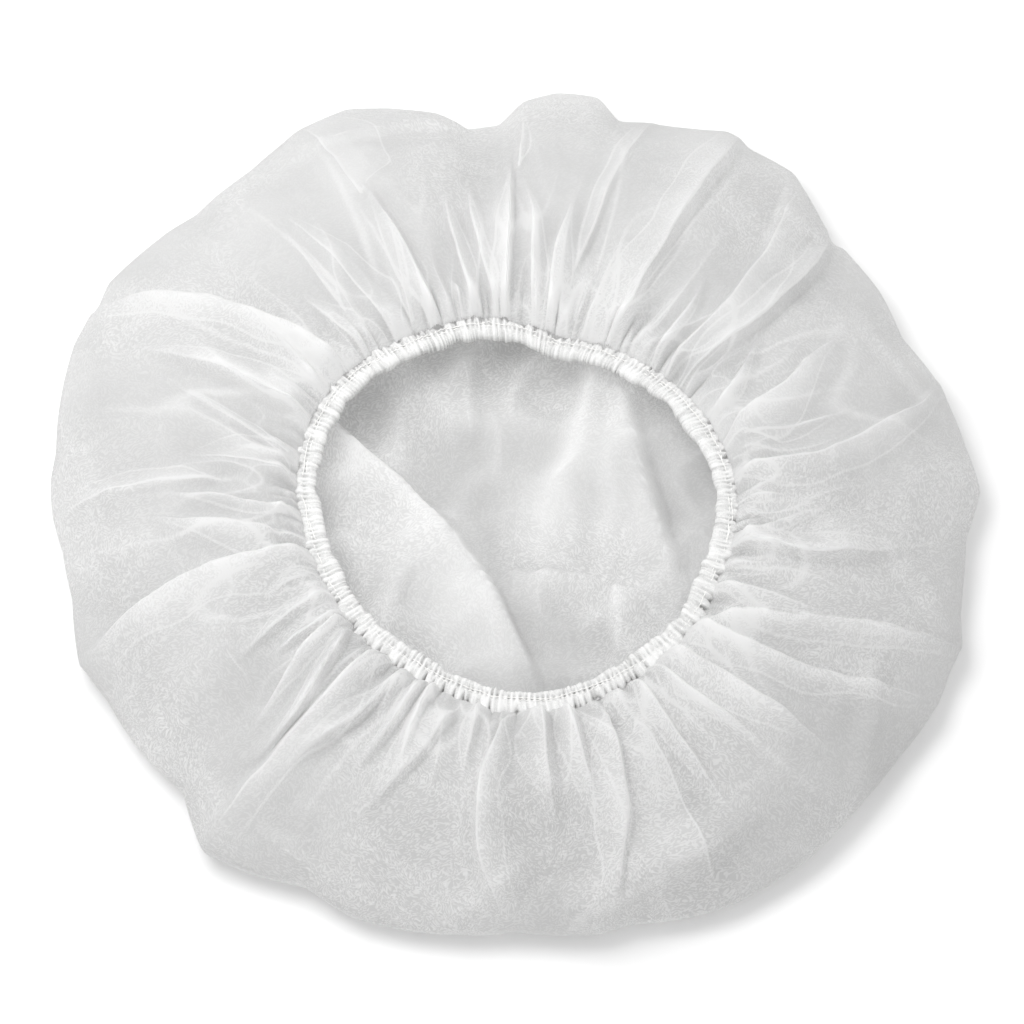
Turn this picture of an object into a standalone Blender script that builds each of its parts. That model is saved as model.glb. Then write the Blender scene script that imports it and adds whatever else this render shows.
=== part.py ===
"""A disposable hair cover cap lying flat with its opening up.

One round blank of spunbond cloth makes the crown: a base that lies on the table, a rim where it
turns over, and an upper layer that runs back in to the opening. The cloth is turned over a flat
elastic there, which gathers it into pleats that fan out to the rim. Metres, +Z up. The origin is
on the table, under the middle of the box round the outline. Angles and reaches are taken from the
pole, the middle of the opening on the table: degrees from +X, towards +Y.
"""

import math

import bmesh
import bpy
from mathutils import Vector

# Driving sizes.
CROWN_RADIUS = 0.156  # reach of the outline from the pole, where OUTLINE says 1
CROWN_HEIGHT = 0.031  # top of the smooth upper layer, between the pleats
CLOTH = 0.001  # wall of the cloth
PLEAT_RISE = 0.008  # how far the highest pleat stands above the upper layer
HEM_RADIUS = 0.0708  # reach of the hem's middle line, where HEM_BENDS says 1
HEM_FORWARD = 0.0060  # how far the hem lies in front of the pole
HEM_WIDTH = 0.0084  # hem, across
HEM_LEVEL = 0.0215  # middle of the hem above the table
HEM_LIFT = 0.0030  # how far the hem's wave rises and falls
ELASTIC_WIDTH = 0.0048
ELASTIC_THICKNESS = 0.0010
GATHER_DEPTH = 0.0006  # how far every second gather of the hem draws in
CLEARANCE = 0.0003  # gap between pieces that touch
RIM_LEVEL = 0.0095  # height of the outline's furthest reach
RIM_TUCK = 0.010  # how far inside the outline the base meets the table
BASE_RISE = 0.0070  # height of the highest wrinkle of the base
WRINKLE_WIDTH = 0.013  # half the width of a plain wrinkle of the base
REST_RADIUS = 0.014  # flat middle of the base

GATHERS = 46  # pairs of a full and a drawn-in gather around the hem
PLEAT_ENTRY = 0.12  # share of the upper layer over which a pleat rises from the hem

# The hem's plan: (degrees, share of HEM_RADIUS).
HEM_BENDS = (
    (4, 1.03), (28, 1.02), (46, 1.005), (64, 0.985), (76, 0.95), (86, 0.995), (97, 1.045),
    (119, 1.045), (142, 1.075), (160, 1.06), (176, 1.02), (188, 0.975), (201, 0.948),
    (222, 0.93), (246, 0.945), (260, 0.985), (280, 1.015), (300, 1.0), (320, 1.01),
    (336, 0.995), (350, 1.02),
)

# The hem's wave: (degrees, share of HEM_LIFT).
HEM_WAVE = (
    (10, 0.2), (60, -0.6), (100, 0.5), (145, 0.9), (195, -0.3), (235, 0.4), (285, -0.5), (330, 0.8),
)

# The outline's corners: (degrees, share of CROWN_RADIUS).
OUTLINE = (
    (3.5, 1.03), (20, 0.997), (27.5, 0.97), (43, 1.002), (54.5, 1.075), (64, 1.085), (77, 1.03),
    (80, 1.083), (85, 1.083), (92, 1.0), (96.5, 0.992), (99.5, 1.045), (110, 1.105),
    (124, 1.06), (133, 1.045), (147, 1.08), (156, 1.073), (170, 1.03), (178, 1.025),
    (192, 0.994), (200, 1.022), (207, 1.0), (223, 0.99), (230.5, 1.067), (243, 1.012),
    (250, 1.037), (258, 1.032), (270, 1.012), (280, 1.035), (296, 1.055), (308, 1.05),
    (326, 1.024), (342, 1.032), (346, 1.008), (357, 0.995),
)

# The upper layer's meridian: (share from hem to outline, share from hem top or rim up to CROWN_HEIGHT).
MERIDIAN = (
    (0.0, 0.0), (0.07, 0.36), (0.16, 0.72), (0.28, 0.95),
    (0.42, 1.0), (0.58, 0.92), (0.74, 0.76), (0.88, 0.48),
)

# The base's rings: share from the rest circle to where the base meets the table.
BASE_RINGS = (0.86, 0.70, 0.54, 0.38, 0.22, 0.09)

# The pleats: degrees at the hem, halfway and at the rim, foot to foot in degrees,
# then the crest's rise near the hem, halfway and at the rim, in shares of PLEAT_RISE,
# and how far the crest leans from the middle to one foot.
PLEATS = (
    # hem, half, rim, wide, near, middle, far, lean
    (8.5, 10.5, 18.0, 7.0, 0.60, 0.45, 0.15, 0.3),
    (17.0, 26.5, 32.0, 8.0, 1.00, 0.85, 0.20, 0.5),
    (29.0, 38.0, 43.5, 6.5, 0.60, 0.50, 0.30, -0.3),
    (39.5, 46.0, 53.0, 8.0, 0.90, 0.70, 0.35, 0.5),
    (49.0, 54.0, 58.5, 6.0, 0.80, 0.35, 0.20, 0.3),
    (62.0, 61.5, 64.0, 7.5, 1.00, 0.80, 0.45, -0.4),
    (71.0, 70.0, 71.0, 6.0, 0.50, 0.25, 0.10, 0.0),
    (80.0, 79.5, 80.5, 8.0, 0.80, 0.55, 0.40, 0.2),
    (87.5, 87.5, 88.0, 5.0, 0.70, 0.45, 0.25, 0.2),
    (94.0, 93.0, 94.0, 6.0, 1.00, 0.80, 0.10, -0.3),
    (101.5, 101.5, 103.0, 6.0, 0.70, 0.45, 0.20, 0.0),
    (115.5, 113.5, 111.5, 6.5, 0.80, 0.55, 0.40, 0.3),
    (124.5, 124.5, 124.0, 9.0, 0.60, 0.50, 0.20, 0.0),
    (133.5, 134.0, 134.5, 6.0, 0.60, 0.30, 0.15, 0.0),
    (141.5, 143.0, 147.0, 7.0, 0.80, 0.65, 0.30, -0.5),
    (149.0, 150.0, 153.0, 5.5, 0.90, 0.40, 0.15, -0.2),
    (157.5, 157.0, 160.0, 7.5, 0.95, 0.75, 0.30, 0.4),
    (169.0, 164.5, 166.0, 6.0, 0.55, 0.60, 0.15, 0.5),
    (177.0, 174.0, 172.5, 6.5, 0.50, 0.35, 0.10, 0.0),
    (185.5, 182.0, 179.5, 6.0, 0.65, 0.60, 0.15, -0.4),
    (193.0, 190.0, 187.0, 6.0, 0.75, 0.45, 0.05, 0.3),
    (202.0, 201.0, 201.0, 8.0, 1.00, 0.90, 0.40, -0.7),
    (212.0, 212.5, 212.0, 6.5, 0.70, 0.35, 0.05, 0.2),
    (220.0, 222.5, 222.0, 5.5, 0.85, 0.85, 0.10, -0.2),
    (227.0, 230.5, 230.5, 5.5, 0.90, 0.80, 0.60, 0.2),
    (235.0, 237.0, 237.5, 6.0, 1.00, 0.80, 0.20, 0.3),
    (242.5, 243.5, 244.5, 5.5, 0.95, 0.55, 0.10, 0.2),
    (250.0, 250.0, 250.5, 6.5, 0.65, 0.40, 0.20, 0.5),
    (260.5, 261.5, 262.0, 6.0, 0.45, 0.35, 0.10, 0.0),
    (268.5, 269.5, 270.0, 6.0, 0.80, 0.60, 0.35, -0.4),
    (276.5, 277.0, 277.0, 6.0, 0.85, 0.50, 0.15, 0.0),
    (284.5, 285.0, 284.0, 6.0, 0.75, 0.65, 0.25, 0.4),
    (294.0, 293.5, 294.5, 8.0, 0.55, 0.35, 0.30, 0.0),
    (303.0, 304.5, 307.0, 6.5, 0.70, 0.55, 0.20, 0.2),
    (311.5, 314.5, 318.5, 7.5, 1.00, 0.90, 0.25, -0.3),
    (322.0, 325.5, 328.0, 7.0, 0.90, 0.50, 0.15, 0.2),
    (331.5, 335.5, 339.5, 6.5, 0.80, 0.85, 0.35, 0.5),
    (340.5, 342.5, 346.5, 5.0, 0.40, 0.15, 0.05, 0.0),
    (348.5, 350.5, 354.0, 7.0, 0.80, 0.60, 0.20, -0.4),
    (358.0, 359.5, 362.0, 6.0, 0.75, 0.55, 0.20, 0.3),
)

# Wrinkles of the base: each runs from one point to another, in shares of HEM_RADIUS from the pole.
BASE_WRINKLES = (
    # x1, y1, x2, y2, rise, width in shares of WRINKLE_WIDTH
    (-0.98, 0.45, -0.25, -0.02, 0.95, 1.0),
    (-0.20, -0.10, 0.25, -0.80, 0.45, 0.8),
    (0.38, 0.75, 0.30, 0.42, 0.70, 0.7),
    (0.30, 0.42, -0.10, 0.18, 0.50, 1.0),
    (0.48, 0.62, 0.72, -0.60, 0.80, 1.2),
    (-0.62, -0.10, -0.42, -0.62, 0.60, 0.9),
    (-0.30, 0.85, -0.22, 0.62, 0.60, 0.9),
    (1.15, 0.20, 1.25, -0.90, 0.60, 1.4),
    (-1.30, 0.60, -1.35, -0.50, 0.55, 1.5),
    (-0.70, -1.30, 0.40, -1.40, 0.55, 1.4),
    (-0.50, 1.35, 0.60, 1.30, 0.55, 1.4),
)


def eased(share):
    """0 to 1 with no corner at either end."""
    share = min(max(share, 0.0), 1.0)
    return share * share * (3.0 - 2.0 * share)


def around(table, angle):
    """The value at an angle of a table of (degrees, value) rows that goes once round."""
    angle %= 360.0
    rows = sorted(table)
    rows = [(rows[-1][0] - 360.0, rows[-1][1]), *rows, (rows[0][0] + 360.0, rows[0][1])]
    for (low, first), (high, second) in zip(rows, rows[1:]):
        if low <= angle <= high:
            return first + (second - first) * (angle - low) / (high - low)
    raise ValueError(f"no row holds {angle} degrees")


def smooth_around(table, angle, reach=5.0):
    """The same, eased over a few degrees each side, for what bends and has no corners."""
    beside = around(table, angle - reach) + around(table, angle + reach)
    return around(table, angle) / 2 + beside / 4


def through(first, middle, last, share):
    """The curve through three values at shares 0, a half and 1."""
    return (
        first * (1 - share) * (1 - 2 * share)
        + middle * 4 * share * (1 - share)
        + last * share * (2 * share - 1)
    )


def hem_reach(angle):
    forward = HEM_FORWARD * math.sin(math.radians(angle))
    return HEM_RADIUS * smooth_around(HEM_BENDS, angle) - forward


def hem_level(angle):
    return HEM_LEVEL + HEM_LIFT * smooth_around(HEM_WAVE, angle, 10.0)


def rim_reach(angle):
    return CROWN_RADIUS * around(OUTLINE, angle)


def at(angle, reach, level):
    """The point at an angle in degrees, a reach from the pole and a level above the table."""
    turn = math.radians(angle)
    return Vector((reach * math.cos(turn), reach * math.sin(turn), level))


def loft(name, sections, cap_last=False):
    """An open sheet through closed sections, each a ring of as many points."""
    mesh = bpy.data.meshes.new(name)
    sheet = bmesh.new()
    rings = [[sheet.verts.new(point) for point in section] for section in sections]
    for ring, following in zip(rings, rings[1:]):
        for here in range(len(ring)):
            beside = (here + 1) % len(ring)
            sheet.faces.new((ring[here], ring[beside], following[beside], following[here]))
    if cap_last:
        sheet.faces.new(rings[-1])
    bmesh.ops.recalc_face_normals(sheet, faces=sheet.faces)
    sheet.to_mesh(mesh)
    sheet.free()
    return mesh


def material(name, colour, roughness):
    """A plain cloth-like surface."""
    made = bpy.data.materials.new(name)
    made.use_nodes = True
    shader = made.node_tree.nodes["Principled BSDF"]
    shader.inputs["Base Color"].default_value = (*colour, 1.0)
    shader.inputs["Roughness"].default_value = roughness
    shader.inputs["Metallic"].default_value = 0.0
    return made


def pole_empty(collection):
    """An empty at the pole, which puts the middle of the outline over the origin."""
    outline = [at(angle, rim_reach(angle), 0.0) for angle, _ in OUTLINE]
    middle = [(min(values) + max(values)) / 2 for values in list(zip(*outline))[:2]]
    pole = bpy.data.objects.new("pole", None)
    pole.location = (-middle[0], -middle[1], 0.0)
    collection.objects.link(pole)
    return pole


def piece(name, mesh, thickness, offset, surface, pole):
    """An object round the pole whose sheet is thickened into a wall."""
    made = bpy.data.objects.new(name, mesh)
    made.parent = pole
    pole.users_collection[0].objects.link(made)
    mesh.materials.append(surface)
    mesh.shade_smooth()
    wall = made.modifiers.new("wall", "SOLIDIFY")
    wall.thickness = thickness
    wall.offset = offset
    return made


def pleat_columns():
    """One row for each column of the crown: (degrees at hem, half and rim, near, middle and far rise).

    A pleat has three columns: its two feet, which lie in the upper layer, and the crest between.
    """
    columns = []
    for index, (hem, half, rim, wide, near, middle, far, lean) in enumerate(PLEATS):
        before = PLEATS[index - 1]
        after = PLEATS[(index + 1) % len(PLEATS)]
        for side, rise in ((-1, 0), (0, 1), (1, 0)):
            places = []
            for station, centre in enumerate((hem, half, rim)):
                beside = (before if side < 0 else after)[station]
                gap = abs((beside - centre + 180.0) % 360.0 - 180.0)
                foot = min(wide / 2, 0.4 * gap)
                places.append(centre + foot * (side if side else 0.55 * lean))
            columns.append((*places, near * rise, middle * rise, far * rise))
    return columns


def wrinkle_rise(point):
    """How far the base stands off the table at a point."""
    rise = 0.0
    for x1, y1, x2, y2, high, wide in BASE_WRINKLES:
        start = Vector((x1, y1)) * HEM_RADIUS
        run = Vector((x2, y2)) * HEM_RADIUS - start
        along = min(max((point.xy - start).dot(run) / run.length_squared, 0.0), 1.0)
        off = (point.xy - start - along * run).length / (wide * WRINKLE_WIDTH)
        rise = max(rise, high * BASE_RISE * (1.0 - eased(off)))
    middle = eased((point.xy.length - REST_RADIUS) / WRINKLE_WIDTH)
    return rise * middle


def upper_section(columns, share, level):
    """One ring of the upper layer. Level is the meridian's share of the height there."""
    ring = []
    for hem, half, rim, near, middle, far in columns:
        angle = through(hem, half, rim, share)
        start = hem_reach(angle) + HEM_WIDTH / 2 + CLEARANCE
        reach = start + share * (rim_reach(angle) - start)
        low = hem_top(angle) if share < 0.4 else RIM_LEVEL
        smooth = low + level * (CROWN_HEIGHT - low)
        rise = PLEAT_RISE * eased(share / PLEAT_ENTRY) * max(through(near, middle, far, share), 0.0)
        ring.append(at(angle, reach, smooth + rise))
    return ring


def hem_top(angle):
    """Level of the middle of the cloth that lies over the elastic."""
    return hem_level(angle) + ELASTIC_THICKNESS / 2 + CLEARANCE + CLOTH / 2


def crown_sections():
    """The rings of the crown, from the hem out to the rim and back under to the middle."""
    columns = pleat_columns()
    rings = [upper_section(columns, share, level) for share, level in MERIDIAN]
    rim_angles = [rim for _, _, rim, _, _, _ in columns]
    turn = ((0.0, RIM_LEVEL), (0.25, RIM_LEVEL / 4), (1.0, 0.0))
    for tuck, level in turn:
        rings.append([at(a, rim_reach(a) - tuck * RIM_TUCK, level) for a in rim_angles])
    for share in BASE_RINGS:
        ring = []
        for a in rim_angles:
            reach = REST_RADIUS + share * (rim_reach(a) - RIM_TUCK - REST_RADIUS)
            point = at(a, reach, 0.0)
            point.z = wrinkle_rise(point)
            ring.append(point)
        rings.append(ring)
    rings.append([at(a, REST_RADIUS, 0.0) for a in rim_angles])
    return rings


def gather_angles():
    """Where the gathers of the hem stand out and draw in, in turn."""
    return [180.0 * step / GATHERS for step in range(2 * GATHERS)]


def hem_sections():
    """The turned hem as lines that go round it: over the elastic, round its inner edge and back under."""
    half = HEM_WIDTH / 2
    top = ELASTIC_THICKNESS / 2 + CLEARANCE + CLOTH / 2
    nose = half - CLOTH
    seam = top - CLOTH - 2 * CLEARANCE
    # Each row: reach from the hem's middle, level from the hem's middle, share of the gather's draw.
    lines = (
        (half, top, 0.0),
        (0.0, top + GATHER_DEPTH, 1.0),
        (-nose, top + GATHER_DEPTH / 2, 1.0),
        (-half, 0.0, 1.0),
        (-nose, -top - GATHER_DEPTH / 2, 1.0),
        (0.4 * half, -top - GATHER_DEPTH, 0.5),
        (half, seam, 0.0),
    )
    rings = []
    for reach, level, draw in lines:
        ring = []
        for step, angle in enumerate(gather_angles()):
            drawn = draw * GATHER_DEPTH * (step % 2)
            shrink = drawn if reach < 0 else 0.0
            flat = math.copysign(drawn, level) if level else 0.0
            ring.append(at(angle, hem_reach(angle) + reach + shrink, hem_level(angle) + level - flat))
        rings.append(ring)
    return rings


def elastic_sections():
    """The flat elastic inside the hem, as its inner and outer edge."""
    return [
        [at(a, hem_reach(a) + edge * ELASTIC_WIDTH / 2, hem_level(a)) for a in gather_angles()]
        for edge in (1, -1)
    ]


def main():
    for old in list(bpy.data.objects):
        bpy.data.objects.remove(old, do_unlink=True)
    cap = bpy.data.collections.new("hair_cover_cap")
    bpy.context.scene.collection.children.link(cap)
    cloth = material("spunbond_cloth", (0.80, 0.80, 0.79), 0.95)
    hem_cloth = material("gathered_cloth", (0.90, 0.90, 0.88), 0.95)
    rubber = material("covered_elastic", (0.88, 0.88, 0.86), 0.8)
    pole = pole_empty(cap)
    piece("crown", loft("crown", crown_sections(), cap_last=True), CLOTH, -1.0, cloth, pole)
    piece("hem_casing", loft("hem_casing", hem_sections()), CLOTH, 0.0, hem_cloth, pole)
    elastic = loft("elastic_band", elastic_sections())
    piece("elastic_band", elastic, ELASTIC_THICKNESS, 0.0, rubber, pole)


main()
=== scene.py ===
"""Looks of a disposable hair cover cap that lies flat with its opening up.

The crown is one thin sheet: an upper layer between hem and rim, full of leaning folds, and a base
that lies on the table. The hem is a gathered band with two rows of stitches. Metres, +Z up. Angles
are degrees from +X towards +Y, seen from the pole, the middle of the opening on the table.
"""

import math

import bpy
import numpy as np
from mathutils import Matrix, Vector, noise


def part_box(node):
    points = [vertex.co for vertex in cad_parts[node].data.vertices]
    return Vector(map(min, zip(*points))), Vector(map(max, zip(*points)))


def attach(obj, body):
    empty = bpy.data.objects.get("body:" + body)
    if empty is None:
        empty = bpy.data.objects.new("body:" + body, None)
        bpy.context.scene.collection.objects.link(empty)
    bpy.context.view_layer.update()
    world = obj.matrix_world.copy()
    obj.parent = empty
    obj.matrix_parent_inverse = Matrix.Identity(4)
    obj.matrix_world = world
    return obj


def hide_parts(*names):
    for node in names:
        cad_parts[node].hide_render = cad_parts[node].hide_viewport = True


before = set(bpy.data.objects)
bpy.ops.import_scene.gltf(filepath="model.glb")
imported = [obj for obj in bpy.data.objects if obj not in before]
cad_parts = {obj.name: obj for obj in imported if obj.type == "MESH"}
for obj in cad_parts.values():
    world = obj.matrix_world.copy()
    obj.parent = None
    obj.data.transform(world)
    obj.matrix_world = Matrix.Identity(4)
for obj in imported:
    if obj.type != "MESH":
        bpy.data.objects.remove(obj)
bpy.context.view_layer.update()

# Sizes in metres.
CROWN_HEIGHT = 0.031  # top of the smooth upper layer
PLEAT_RISE = 0.0100  # how far the highest fold stands above the upper layer
FOLD_WIDTH = 0.012  # half the width of an upright fold whose row says 1
FINE_RISE = 0.0020  # heights of the three sizes of pleats between the folds
MEDIUM_RISE = 0.0028
LARGE_RISE = 0.0050
PLEAT_RUN = 0.022  # their noise moves on by this much from hem to rim, so that they run straight
BROAD_RISE = 0.0020  # how far the upper layer swells and sinks at large
SAG = 0.0020  # how far it sinks halfway to the rim
DROOP = 0.0034  # how far it sinks beside the hem at the front
DROP = 0.0044  # size of the gathers that the hem's puffs open into in the crown
DROP_RISE = 0.0032  # and their height
STRAY = 0.0012  # how far folds and creases stray from their rows
HEM_LIFT = 0.0030  # how far the hem's wave rises and falls
HEM_FORWARD = 0.0060  # how far the hem lies in front of the pole
HEM_WIDTH = 0.0084
HEM_THICK = 0.0044
PUFF = 0.0025  # size of the gathers along the hem's outer edge
RUFFLE = 0.0011  # size of the finer ones along its inner edge
TOOTH = 0.0005  # the cut edge inside the hem is crammed into teeth this high
THREAD = 0.00018  # radius of a stitch thread
THREAD_ASIDE = 0.0009  # how far the rows of stitches wander to the sides
THREAD_LIFT = 0.0004  # and up and down
THREAD_INWARD = 0.0013  # how much further in they lie at the front
RIM_LEVEL = 0.0095  # the upper layer's height where it turns over
RIM_TUCK = 0.010  # how far the base's edge lies inside the rim
BASE_RISE = 0.0080  # height of the highest wrinkle of the base
BASE_CRUMPLE = 0.0042  # height of the wrinkles between those
WRINKLE_WIDTH = 0.010  # half the width of a wrinkle whose row says 1
LINE_WIDTH = 0.0011  # width of the painted highlight along a crisp crease
REST_RADIUS = 0.010  # the middle of the base, which lies flat

# Shares.
CLOTH_START = 0.36  # how far out from the hem's middle the crown starts, of the hem's width
CLOTH_LEVEL = 0.15  # and how far above that middle, of the hem's thickness
TOP_SHARE = 0.42  # the meridian is highest here
NEAR_RIM = 0.95  # a fold that ends beyond this share runs on to the rim
NEAR_HEM = 0.02  # one that starts before this share comes out of the hem
RIM_TURNS = (0.12, 0.3, 0.5, 0.7, 0.88)  # the rings round the rim, of a quarter turn
CRISP = 0.6  # a crease with a slope narrower than this share shows as a painted highlight, a bright line

# Counts.
STITCHES = 260
COLUMNS = 1080  # of the upper layer
BASE_COLUMNS = COLUMNS // 3
UPPER_RINGS = 62
BASE_RINGS = 56
HEM_COLUMNS = 2160
HEM_SIDES = 22

# Colours of each cloth where its tone is 0 and where it is 1, and the share of light it lets through.
CROWN_COLOURS = ((0.685, 0.685, 0.683), (0.985, 0.985, 0.983))
CROWN_THROUGH = 0.58
HEM_COLOURS = ((0.42, 0.42, 0.415), (0.93, 0.93, 0.925))
HEM_THROUGH = 0.20
THREAD_COLOURS = ((0.90, 0.895, 0.88), (0.99, 0.985, 0.97))
ELASTIC_COLOURS = ((0.80, 0.80, 0.78), (0.90, 0.90, 0.88))

# The crown's tone: what it starts from, then what each thing adds to it.
TONE = 0.345
DOUBLE_TONE = 0.17  # where a fold lays the cloth double
EDGE_HIGHLIGHT_TONE = 0.60  # a painted highlight on that fold's edge
# Painted highlight on the folds' crests.
CREST_HIGHLIGHT_TONE = 0.22
# Painted highlight along the crisp creases.
CREASE_HIGHLIGHT_TONE = 0.34
DROP_LIGHT_AND_SHADE = 0.85  # painted shade in the dips and painted light on the tops of the gathers by the hem
BASE_SHADE_TONE = -0.40  # painted shade all over the base, which lies under the upper layer
WRINKLE_LIGHT_TONE = 0.50  # painted light on the base's highest wrinkle, less on lower ones

# The photograph's light.
FLOOR = 0.92  # how white the table is
SKY = 0.84
KEY_PLACE = (-0.24, 0.08, 0.63)
KEY_AIM = (-0.06, 0.08, 0.0)
KEY_SIZE = 0.60
KEY_POWER = 3.1

# The photograph's view, in its frame of 1024 by 1024 pixels.
PHOTO_SIDE = 1024
CAP_LEFT_PX = 50
CAP_RIGHT_PX = 981
CAP_TOP_PX = 93
CAP_FOOT_PX = 935
ELEVATION = 62.0
LENS = 400.0
SENSOR = 36.0
AIM_FORWARD = 0.003  # how far in front of the cap's middle the camera aims, in metres
AIM_LEVEL = 0.0095  # and how high above the table

# The hem's plan: (degrees, share of the hem's reach).
HEM_BENDS = (
    (4, 1.03), (28, 1.02), (46, 1.005), (64, 0.985), (76, 0.95), (86, 0.995), (97, 1.045),
    (119, 1.045), (142, 1.075), (160, 1.06), (176, 1.02), (188, 0.975), (201, 0.948),
    (222, 0.93), (246, 0.945), (260, 0.985), (280, 1.015), (300, 1.0), (320, 1.01),
    (336, 0.995), (350, 1.02),
)
HEM_WAVE = (
    (10, 0.2), (60, -0.6), (100, 0.5), (145, 0.9), (195, -0.3), (235, 0.4), (285, -0.5), (330, 0.8),
)

# The outline's corners: (degrees, share of the crown's reach).
OUTLINE = (
    (3.5, 1.030), (10, 1.012), (20, 0.997), (27.5, 0.970), (35, 0.991), (43, 1.002), (44.5, 0.985),
    (46, 1.005), (54.5, 1.075), (60, 1.070), (64, 1.085), (70, 1.055), (77, 1.030), (80, 1.083),
    (85, 1.083), (89, 1.060), (92, 1.000), (96.5, 0.992), (99.5, 1.045), (105, 1.080), (110, 1.105),
    (117, 1.090), (124, 1.060), (133, 1.045), (137, 1.060), (147, 1.080), (150, 1.068), (156, 1.073),
    (166, 1.043), (171, 1.028), (175, 1.030), (180, 1.020), (185, 1.000), (192, 0.994), (201, 1.022),
    (207, 1.000), (215, 1.000), (223, 0.990), (230.5, 1.067), (236, 1.045), (243, 1.012),
    (250, 1.037), (258, 1.032), (265, 1.022), (270, 1.012), (280, 1.035), (284, 1.023),
    (291, 1.045), (296, 1.055), (308, 1.050), (318, 1.030), (325, 1.024), (333, 1.034),
    (338, 1.026), (342, 1.032), (346, 1.008), (350, 1.000), (357, 0.995),
)

# The upper layer's meridian: (share from hem to outline, share of the height between rim and top).
MERIDIAN = (
    (0.0, 0.0), (0.04, 0.25), (0.09, 0.50), (0.16, 0.74), (0.28, 0.95), (0.42, 1.0), (0.58, 0.92),
    (0.74, 0.76), (0.88, 0.48), (0.95, 0.27), (1.0, 0.0),
)

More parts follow.
